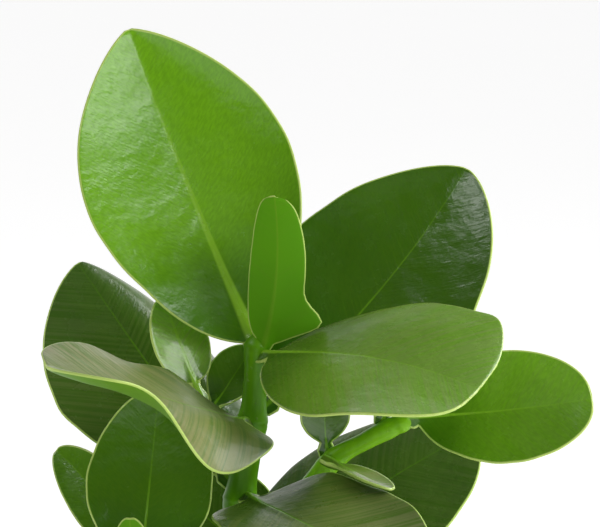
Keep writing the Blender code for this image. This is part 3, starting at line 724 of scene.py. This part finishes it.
class Leaf:
    """One blade with its stalk.

    reach: from the leaf's root to its tip.
    arch: how far the middle of the midrib stands off the straight line from root to tip.
    face: the way that the upper side looks, at the middle of the leaf.
    fold: how far each half rises from flat at the midrib.
    curl: how much further each half, left and right, turns up by its edge at the leaf's base.
    tip_curl: the same at the leaf's tip, where it differs.
    wave: the lift of the left and right edges, and where along the leaf each wave starts.
    flare: how much further the left and right halves reach at one place, where, and over what share.
    slant: how much lower the left corner of the tip is.
    age: from 0, just opened and bright, to 1, old and dark.
    painted_sheen: how much of the upper side's green is painted over with a warm grey sheen, a painted
    reflection of the bright backdrop at grazing angles, from 0 to 1.
    rib: how wide the midrib is, beside that of most leaves.
    """

    def __init__(
        self, name, root, reach, width, face, arch=(0, 0, 0), fold=8, curl=(15, 15), tip_curl=None,
        wave=(0, 0, 0, 0), stalk=3.0, widest=0.52, base_power=0.55, tip_power=0.5,
        flare=(0, 0, 0.5, 0.1), slant=0, young=False, age=0.85, painted_sheen=0.1, rib=1.0,
    ):
        self.name = name
        self.reach = Vector(reach)
        self.arch = Vector(arch)
        self.width = width
        self.face = Vector(face)
        self.fold = math.radians(fold)
        self.curl = [math.radians(c) for c in curl]
        self.tip_curl = [math.radians(c) for c in tip_curl or curl]
        self.wave = wave
        self.length = self.reach.length
        self.stalk_share = stalk / self.length
        self.bulge = math.log(0.5) / math.log(widest)
        self.base_power = base_power
        self.tip_power = tip_power
        self.flare = flare
        self.slant = slant
        self.young = young
        self.age = age
        self.painted_sheen = painted_sheen
        self.rib = rib
        self.seed = sum(ord(letter) * (i + 1) for i, letter in enumerate(name)) % SEEDS
        self.root = self.seat(root)

    def frame(self, t):
        """The midrib's direction, the way that the upper side looks, and the way to the right side."""
        along = (self.reach + self.arch * (4 - 8 * t)).normalized()
        up = (self.face - along * self.face.dot(along)).normalized()
        return along, up, along.cross(up)

    def seat(self, root):
        """The root's place: just clear of the stem where the leaf leaves it, or a plain point."""
        if not isinstance(root[0], Stem):
            return Vector(root)
        stem, height = root
        centre, axis, radius = stem.at_height(height)
        clear = radius * math.cos(math.pi / FLATS) + CLEARANCE
        leaving, up, right = self.frame(0)
        outward = (leaving - axis * leaving.dot(axis)).normalized()
        sideways = axis.cross(outward)
        half_wide = right * self.stalk_half_width()
        half_thick = up * (STALK_THICKNESS / 2 * self.stalk_size())
        distance = 0.0
        for corner in (half_wide, -half_wide, half_thick, -half_thick):
            needed = math.sqrt(max(0.0, clear**2 - corner.dot(sideways) ** 2)) - corner.dot(outward)
            distance = max(distance, needed / leaving.dot(outward))
        return centre + leaving * distance

    def stalk_size(self):
        return YOUNG_STALK if self.young else 1.0

    def stalk_half_width(self):
        return STALK_HALF_WIDTH * self.stalk_size()

    def half_width(self, t):
        s = max(0.0, (t - self.stalk_share) / (1 - self.stalk_share))
        power = self.base_power + (self.tip_power - self.base_power) * s
        shape = max(0.0, math.sin(math.pi * s**self.bulge)) ** power
        stalk = self.stalk_half_width()
        clasp = CLASP_WIDER * self.stalk_size() * self.clasp(t)
        return math.hypot(stalk + (BLUNT_TIP - stalk) * s + clasp, self.width / 2 * shape)

    def clasp(self, t):
        """1 where the stalk clasps the stem, fading out within a few millimetres."""
        return math.exp(-((t * self.length / CLASP_LONG) ** 2))

    def near_root(self, t):
        """1 in the stalk, fading out along the blade."""
        return math.exp(-max(0.0, t - self.stalk_share) / THICK_BASE)

    def rib_half_width(self, t):
        share = (RIB_NARROW + (RIB_WIDE - RIB_NARROW) * math.exp(-t / RIB_TAPER)) * self.rib
        return share * self.stalk_size()

    def reach_out(self, t, u):
        """Half of the blade's width at t, on the side that u is on, with a slightly uneven margin."""
        where, share = self.flare[2:]
        side = 1 if u > 0 else 0
        half = self.half_width(t) + self.flare[side] * math.exp(-(((t - where) / share) ** 2))
        uneven = noise.noise(Vector((t * MARGIN_LUMPS, self.seed, side * MARGIN_LUMPS)))
        return half * (1 + MARGIN_UNEVEN * uneven * math.sin(math.pi * max(0.0, t)))

    def rim_distance(self, t, u):
        """How far a place is from the leaf's rim."""
        before, after = max(0.0, t - SLOPE_STEP), min(1.0, t + SLOPE_STEP)
        rise = (self.reach_out(after, u) - self.reach_out(before, u)) / ((after - before) * self.length)
        sideways = self.reach_out(t, u) * (1 - abs(u)) / math.hypot(1.0, rise)
        return min(sideways, (1 - t) * self.length)

    def point(self, t, u):
        """The place on the blade's middle layer at t along the midrib and u across, -1 left to 1 right."""
        centre = self.root + self.reach * t + self.arch * (4 * t * (1 - t))
        along, up, right = self.frame(t)
        side = 1 if u > 0 else 0
        a = abs(u)
        grown = max(0.0, min(1.0, t / FLAT_BASE))
        fold = self.fold * (1 - FOLD_FADE * t) * grown
        curl = (self.curl[side] * (1 - t) + self.tip_curl[side] * t) * grown
        if abs(curl) > NO_CURL:
            outward = (math.sin(fold + curl * a) - math.sin(fold)) / curl
            lift = (math.cos(fold) - math.cos(fold + curl * a)) / curl
        else:
            outward = a * math.cos(fold)
            lift = a * math.sin(fold)
        half = self.reach_out(t, u)
        height, start = self.wave[2 * side], self.wave[2 * side + 1]
        ripple = height * a**2 * math.sin(2 * math.pi * (t + start)) * math.sin(math.pi * t)
        across = u * half
        valley = RIB_VALLEY * math.exp(-abs(across) / RIB_VALLEY_REACH) * (1 - t) ** 2
        valley *= grown * self.stalk_size()
        lump = Vector((across * BUCKLE_SCALE, t * self.length * BUCKLE_SCALE, self.seed))
        buckle = BUCKLE * noise.noise(lump) * grown * (1 - t**4)
        lower = along * (self.slant * max(0.0, -u) * t**6)
        height = lift * half + ripple - valley + buckle
        return centre + right * (math.copysign(1.0, u) * outward * half) + up * height - lower

    def thickness(self, t, u):
        """The leaf's thickness at a place: stout in the stalk, thin in the blade, rounded at the rim."""
        across = u * self.reach_out(t, u)
        stalk = (STALK_THICKNESS + CLASP_THICKER * self.clasp(t)) * self.stalk_size() - BLADE_THICKNESS
        rib = stalk * self.near_root(t) + RIB_DEEPER * (1 - t)
        rib *= math.exp(-((across / (RIDGE_WIDE - RIDGE_TAPER * t)) ** 2))
        rounding = RIM_ROUNDING + STALK_ROUNDING * self.near_root(t)
        inset = min(1.0, self.rim_distance(t, u) / rounding)
        return (BLADE_THICKNESS + rib) * (RIM_THIN + (1 - RIM_THIN) * math.sqrt(1 - (1 - inset) ** 2))


class BladeFinish(Finish):
    """A leaf's surface, drawn by the leaf's own lines: its midrib, side veins and rim.

    across, along and rim are a point's distances in millimetres from the midrib, the root and the rim.
    share is how far along the leaf it lies, from 0 to 1. rib is across in half widths of the midrib.
    """

    def __init__(self, name, **constants):
        super().__init__(name, **constants)
        self.across, self.along, self.rim = self.parts("place")
        self.share, self.age, self.seed = self.parts("kind")
        self.painted_sheen = self.add("Attribute", {}, output="Fac", attribute_name="painted_sheen")
        self.rib = self.add("Attribute", {}, output="Fac", attribute_name="rib")
        outward = self.number("MULTIPLY", self.number("ABSOLUTE", self.across), VEIN_SLANT)
        self.slanted = self.number("SUBTRACT", self.along, outward)

    def parts(self, name):
        """The three numbers that each point of a leaf carries under a name."""
        vector = self.add("Attribute", {}, output="Vector", attribute_name=name)
        node = self.tree.nodes.new("ShaderNodeSeparateXYZ")
        self.tree.links.new(vector, node.inputs[0])
        return node.outputs[0], node.outputs[1], node.outputs[2]

    def strokes(self, fine, long, detail=3.0):
        """Noise drawn out along the side veins, which rise from the midrib at a slant. Counts are to a mm."""
        x = self.number("MULTIPLY", self.slanted, fine)
        y = self.number("MULTIPLY", self.across, long)
        return self.grain(1.0, self.add("CombineXYZ", {"X": x, "Y": y, "Z": self.seed}), detail=detail)

    def patches(self, scale, detail=2.0):
        """Soft noise on the blade, counted to a mm."""
        x = self.number("MULTIPLY", self.across, scale)
        y = self.number("MULTIPLY", self.along, scale)
        return self.grain(1.0, self.add("CombineXYZ", {"X": x, "Y": y, "Z": self.seed}), detail=detail)


def upper_skin(name, gloss, **constants):
    """The green is deeper towards the leaf's base. A fine mottle, a painted sheen, veins, midrib and a pale
    rim with a painted highlight lie over it.
    """
    finish = BladeFinish(name, **constants)
    veins = finish.strokes(0.8, 0.02, detail=2.0)
    leather = finish.strokes(1.1, 0.55, detail=4.0)
    clouds = finish.patches(0.03)
    young = finish.blend(clouds, (0.175, 0.465, 0.006, 1), (0.250, 0.580, 0.014, 1))
    old = finish.blend(clouds, (0.013, 0.050, 0.001, 1), (0.026, 0.080, 0.002, 1))
    colour = finish.blend(finish.age, young, old)
    deep = finish.fade(finish.share, 0.48, 0.08, 0.0, 0.72)
    colour = finish.blend(deep, colour, (0.018, 0.100, 0.0005, 1))
    # Painted sheen: the upper side's green is blended, less near the base and in streaks along the side
    # veins, into a warm grey that stands in for the backdrop's reflection at grazing angles.
    sheen_mask = finish.number("MULTIPLY", finish.painted_sheen, finish.fade(finish.share, 0.0, 0.6, 0.28, 1.0))
    sheen_mask = finish.number("MULTIPLY", sheen_mask, finish.fade(veins, 0.38, 0.60, 0.38, 1.0))
    mottle = finish.fade(leather, 0.35, 0.65, 0.0, 0.24)
    colour = finish.blend(mottle, colour, (0.030, 0.140, 0.001, 1))
    sheen_colour = finish.blend(finish.share, (0.330, 0.330, 0.060, 1), (0.315, 0.295, 0.190, 1))
    colour = finish.blend(sheen_mask, colour, sheen_colour)
    near_rib = finish.fade(finish.number("ABSOLUTE", finish.across), 14.0, 1.0)
    paler = finish.number("MULTIPLY", finish.fade(veins, 0.48, 0.66, 0.0, 0.22), near_rib)
    colour = finish.blend(paler, colour, (0.110, 0.250, 0.008, 1))
    fresh = finish.fade(finish.share, 1.0, 0.1, 0.2, 0.95)
    rib = finish.number("MULTIPLY", finish.fade(finish.rib, 1.0, 0.55), fresh)
    rib_green = finish.blend(finish.age, (0.290, 0.580, 0.030, 1), (0.130, 0.320, 0.006, 1))
    colour = finish.blend(rib, colour, rib_green)
    colour = finish.blend(finish.fade(finish.rim, *RIM_BAND), colour, RIM_GREEN_AND_HIGHLIGHT)
    skin = finish.relief(finish.patches(0.055), 0.7)
    skin = finish.relief(finish.patches(0.24), 0.20, below=skin)
    skin = finish.relief(veins, 0.05, below=skin)
    skin = finish.relief(leather, 0.07, below=skin)
    roughness = finish.fade(finish.patches(0.12, detail=4.0), 0.3, 0.7, gloss, gloss + 0.12)
    satin = finish.number("MULTIPLY", finish.painted_sheen, 0.14)
    return finish.wear(colour=colour, roughness=finish.number("ADD", roughness, satin), normal=skin)


def under_skin(name, dull):
    """A plain, dull green. Wide, faint side veins, the midrib and the rim lie over it."""
    finish = BladeFinish(name, Specular_IOR_Level=0.2)
    veins = finish.strokes(0.45, 0.02, detail=2.0)
    clouds = finish.patches(0.04)
    young = finish.blend(clouds, (0.088, 0.315, 0.0003, 1), (0.128, 0.395, 0.0005, 1))
    old = finish.blend(clouds, (0.095, 0.205, 0.010, 1), (0.140, 0.275, 0.020, 1))
    colour = finish.blend(finish.age, young, old)
    colour = finish.blend(finish.fade(veins, 0.5, 0.66, 0.0, 0.18), colour, (0.140, 0.300, 0.012, 1))
    colour = finish.blend(finish.fade(finish.rib, 1.3, 0.4, 0.0, 0.5), colour, (0.180, 0.380, 0.012, 1))
    colour = finish.blend(finish.fade(finish.rim, *RIM_BAND), colour, RIM_GREEN_AND_HIGHLIGHT)
    skin = finish.relief(veins, 0.08)
    skin = finish.relief(finish.patches(0.15), 0.2, below=skin)
    roughness = finish.fade(clouds, 0.3, 0.7, dull, dull + 0.1)
    return finish.wear(colour=colour, roughness=roughness, normal=skin)


def rim_skin():
    # The rim faces' pale green is partly the rim's own colour and partly a painted highlight.
    finish = Finish("rim_skin", Roughness=0.5)
    tone = finish.grain(200.0, detail=2.0)
    return finish.wear(colour=finish.blend(tone, (0.48, 0.66, 0.13, 1), (0.60, 0.76, 0.20, 1)))


WARM_SHEEN = {"Sheen_Weight": 0.06, "Sheen_Roughness": 0.35, "Sheen_Tint": (1.0, 0.72, 0.45, 1.0)}
rim = rim_skin()
LEAF_SKINS = [upper_skin("upper_skin", 0.17, **WARM_SHEEN), under_skin("under_skin", 0.50), rim]
glossy = upper_skin("young_upper_skin", 0.16, Coat_Weight=0.5, Coat_Roughness=0.08)
YOUNG_SKINS = [glossy, under_skin("young_under_skin", 0.58), rim]


def grow(leaf):
    """Shapes a flat grid into the blade, thickens it and puts it on its stem."""
    across_cells, along_cells = YOUNG_CELLS if leaf.young else BLADE_CELLS
    bpy.ops.object.select_all(action="DESELECT")
    bpy.ops.mesh.primitive_grid_add(x_subdivisions=across_cells, y_subdivisions=along_cells, size=2)
    blade = bpy.context.object
    blade.name = leaf.name.replace("leaf_", "blade_")
    thick = blade.vertex_groups.new(name="thick")
    thickest = (STALK_THICKNESS + CLASP_THICKER + RIB_DEEPER) * leaf.stalk_size()
    places, kinds, ribs = [], [], []
    for spot in blade.data.vertices:
        c, s = spot.co.x, (spot.co.y + 1) / 2
        u = c - CLOSE_COLUMNS * math.sin(2 * math.pi * c) / (2 * math.pi)
        t = (1 - CLOSE_ROWS) * s + CLOSE_ROWS * (1 - math.cos(math.pi * s)) / 2
        thick.add([spot.index], min(1.0, leaf.thickness(t, u) / thickest), "REPLACE")
        across = u * leaf.reach_out(t, u)
        places.extend((across, t * leaf.length, leaf.rim_distance(t, u)))
        kinds.extend((t, leaf.age, leaf.seed))
        ribs.append(abs(across) / leaf.rib_half_width(t))
        if s < FIRST_ROW:
            t = -ROOT_SUNK / leaf.length
        spot.co = leaf.point(t, u) * MM
    for name, values in (("place", places), ("kind", kinds)):
        drawn = blade.data.attributes.new(name=name, type="FLOAT_VECTOR", domain="POINT")
        drawn.data.foreach_set("vector", values)
    for name, values in (("rib", ribs), ("painted_sheen", [leaf.painted_sheen] * len(ribs))):
        drawn = blade.data.attributes.new(name=name, type="FLOAT", domain="POINT")
        drawn.data.foreach_set("value", values)
    for skin in YOUNG_SKINS if leaf.young else LEAF_SKINS:
        blade.data.materials.append(skin)
    solid = blade.modifiers.new("thickness", "SOLIDIFY")
    solid.thickness = thickest * MM
    solid.offset = 0
    solid.vertex_group = "thick"
    solid.use_even_offset = False
    solid.material_offset = 1
    solid.material_offset_rim = 2
    bpy.ops.object.modifier_apply(modifier="thickness")
    bpy.ops.object.shade_smooth_by_angle(angle=math.radians(BLADE_SHARP))
    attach(blade, "root")
    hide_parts(leaf.name)


MAIN_LEAVES = [
    Leaf("leaf_top_left", (5, 5.7, 322.5), (-43.4, 37.3, 101), 77, (0.25, -0.85, 0.4),
         arch=(-0.6, 5, -2.8), curl=(8, 44), stalk=1.5, widest=0.51, base_power=0.54, tip_power=0.7,
         age=0.08, painted_sheen=0.0, rib=2.3),
    Leaf("leaf_top_right", (MAIN, 319), (68, -49, -1), 72, (0.0, -0.46, 0.88), arch=(0, -5, 6),
         curl=(-20, -22), tip_curl=(-10, 14), wave=(0, 0, 3, 0.4), widest=0.58, base_power=0.4,
         tip_power=0.3, flare=(6, 0, 0.85, 0.12), age=0.3, painted_sheen=0.3),
    Leaf("leaf_young_front", (8, -2, 324.4), (3.4, -1, 49.6), 19, (0.1, 1, 0.1), arch=(2.5, -3, 0), stalk=1,
         widest=0.45, base_power=0.4, tip_power=0.28, flare=(9, 0, 0.19, 0.1), slant=2, young=True, age=0.0),
    Leaf("leaf_young_back", (8, 1.4, 324.4), (5, 4, 36), 15, (-0.1, -1, 0.2), arch=(1, -1, 0), stalk=1,
         young=True, age=0.0),
    Leaf("leaf_second_front", (MAIN, 296), (-62, -55, 31), 56, (0.35, -0.11, 1), arch=(6, -7, 0),
         curl=(-42, 15), tip_curl=(27, -7), wave=(11, 0.35, -3, -0.2), base_power=0.25, tip_power=0.28,
         flare=(7, 0, 0.9, 0.1), age=0.75, painted_sheen=0.85),
    Leaf("leaf_second_back", (MAIN, 298), (68, 50, 72.5), 72, (-0.3, -0.85, 0.45), arch=(3.5, 4, -3), stalk=6,
         widest=0.47, base_power=0.52, tip_power=0.62, flare=(0, 6, 0.38, 0.15), age=0.8, painted_sheen=0.0),
    Leaf("leaf_third_front", (MAIN, 272), (57.5, -58.5, -14.5), 58, (0, -0.33, 0.9), arch=(-5.5, -3, 4.5),
         curl=(29, 15), tip_curl=(-6, -9), wave=(4, 0.35, 0, 0), widest=0.5, base_power=0.31, age=0.75,
         painted_sheen=0.6),
    Leaf("leaf_third_back", (MAIN, 272), (-52, 40, 66), 70, (0.2, -0.9, 0.35), arch=(-1, 4, 0), curl=(5, -60),
         tip_curl=(5, -120), widest=0.5, tip_power=0.62, age=0.88, painted_sheen=0.18),
    Leaf("leaf_fourth_back", (MAIN, 237), (76, 34, 44), 66, (-0.15, -0.65, 0.75), arch=(-2, 3, 1),
         curl=(-35, 5), stalk=4, base_power=0.45, age=0.85, painted_sheen=0.2),
    Leaf("leaf_fourth_front", (MAIN, 237), (4, -76, -26), 54, (0.0, -0.1, 1), arch=(0, -3, 9), age=0.85),
    Leaf("leaf_fifth_front", (MAIN, 208), (36, -80, -14), 66, (0.0, -0.1, 1), arch=(0, -6, 9), age=0.9),
    Leaf("leaf_fifth_back", (MAIN, 208), (-32, 80, 2), 64, (0.0, -0.1, 1), arch=(0, 4, 9), age=0.9),
    Leaf("leaf_sixth_right", (MAIN, 172), (88, -14, -16), 66, (0.1, 0, 1), arch=(4, 0, 10), age=0.9),
    Leaf("leaf_sixth_left", (MAIN, 172), (-72, 28, -16), 62, (-0.1, 0, 1), arch=(-4, 0, 9), age=0.9),
    Leaf("leaf_seventh_front", (MAIN, 140), (-8, -74, -4), 56, (0, 0, 1), arch=(0, -4, 10), age=0.9),
    Leaf("leaf_seventh_back", (MAIN, 140), (-22, 70, -4), 54, (0, 0, 1), arch=(-2, 4, 10), age=0.9),
]
for leaf in MAIN_LEAVES:
    grow(leaf)

# Leaves of the right branch and the young shoot
# The branch has one grown leaf at its end and small ones at its node, and the shoot has only just opened.
# Young leaves are brighter and glossier, and cupped like a spoon until they harden.
SIDE_LEAVES = [
    Leaf("leaf_branch_right", (57, -6.1, 300.2), (59, -6, 7.5), 40, (0, -0.85, 0.5), arch=(0, 0, -1), stalk=2,
         tip_power=0.4, age=0.25),
    Leaf("leaf_branch_back", (47, -2, 299.2), (5, -6, 18.5), 15, (0.3, -0.8, 0.4), young=True, age=0.4),
    Leaf("leaf_branch_low", (29.5, -7.7, 285.4), (20.5, -16, -5.5), 11.5, (0, 0.05, 1), young=True, age=0.5,
         painted_sheen=0.9),
    Leaf("leaf_branch_up", (28.5, 0.6, 287.4), (-1, -3, 22), 17, (0.1, -0.9, 0.4), young=True, age=0.7),
    Leaf("leaf_shoot_left", (-13.3, 5.4, 303.9), (-13, 9, 33), 20, (0.36, -0.86, 0.34), fold=3,
         curl=(12, 12), stalk=6, widest=0.46, base_power=0.4, young=True, age=0.0, painted_sheen=0.35, rib=2.0),
    Leaf("leaf_shoot_right", (-10, 8.6, 299), (14, 15, 19), 18, (-0.2, -0.85, 0.4), young=True, age=0.7),
]
for leaf in SIDE_LEAVES:
    grow(leaf)

# Leaves of the left cutting
# The cutting is shorter than the main stem, with leaves down to near the soil and a tip that is opening.
# They grow two to a node, and the two lowest have lost their partners.
LEFT_LEAVES = [
    Leaf("leaf_left_up", (-32.8, -25, 253), (6, 16, 57.5), 42, (0.1, -0.9, 0.35), arch=(0, 3, -2),
         curl=(3, 3), widest=0.46, age=0.66, painted_sheen=0.0),
    Leaf("leaf_left_side", (-36.6, -20.3, 253), (-25, 23, 34), 20, (-0.3, -0.85, 0.4), arch=(3, 0, 2),
         stalk=2, age=0.5, painted_sheen=0.0),
    Leaf("leaf_left_young", (-34.5, -28.4, 252.6), (-1, -4, 20), 11, (0.1, 1, 0.1), stalk=1, young=True,
         age=0.1),
    Leaf("leaf_left_front", (LEFT, 222), (-62, -46, -6), 58, (0, 0, 1), arch=(-2, -2, 9), age=0.7),
    Leaf("leaf_left_back", (LEFT, 222), (-42, 54, 6), 54, (0, 0, 1), arch=(-2, 4, 9), age=0.75),
    Leaf("leaf_left_low_front", (LEFT, 190), (2, -74, -24), 56, (0, 0, 1), arch=(0, -4, 9), age=0.9),
    Leaf("leaf_left_low_back", (LEFT, 190), (-24, 68, -6), 54, (0, 0, 1), arch=(0, 4, 9), age=0.9),
    Leaf("leaf_left_low_side", (LEFT, 158), (-76, -12, -12), 56, (0, 0, 1), arch=(-4, 0, 10), age=0.9),
    Leaf("leaf_left_bottom", (LEFT, 138), (-46, -54, -4), 50, (0, 0, 1), arch=(-2, -3, 9), age=0.9),
]
for leaf in LEFT_LEAVES:
    grow(leaf)

# Leaves of the back cutting
# The smallest cutting stands behind, and its leaves lean out to the right and to the back for light.
# They grow two to a node, and the lowest has lost its partner.
BACK_LEAVES = [
    Leaf("leaf_back_left", (BACK, 227), (-40, 14, 30), 44, (0.2, -0.9, 0.4), age=0.9),
    Leaf("leaf_back_right", (BACK, 227), (44, 26, 16), 44, (0, 0, 1), age=0.7),
    Leaf("leaf_back_young", (17.8, 45.2, 232.4), (-2, 3, 16), 9, (0.1, 1, 0.1), stalk=1, young=True, age=0.1),
    Leaf("leaf_back_low_right", (BACK, 204), (68, 2, -4), 58, (0, 0, 1), arch=(4, 0, 10), age=0.9),
    Leaf("leaf_back_low_back", (BACK, 204), (-4, 76, 4), 58, (0, 0, 1), arch=(0, 4, 9), age=0.9),
    Leaf("leaf_back_bottom_right", (BACK, 172), (68, 42, -20), 56, (0, 0, 1), arch=(4, 3, 10), age=0.9),
    Leaf("leaf_back_bottom_left", (BACK, 172), (-32, 66, -18), 56, (0, 0, 1), arch=(-2, 4, 10), age=0.9),
    Leaf("leaf_back_side", (BACK, 144), (70, -6, 0), 54, (0, 0, 1), arch=(3, 0, 10), age=0.9),
]
for leaf in BACK_LEAVES:
    grow(leaf)
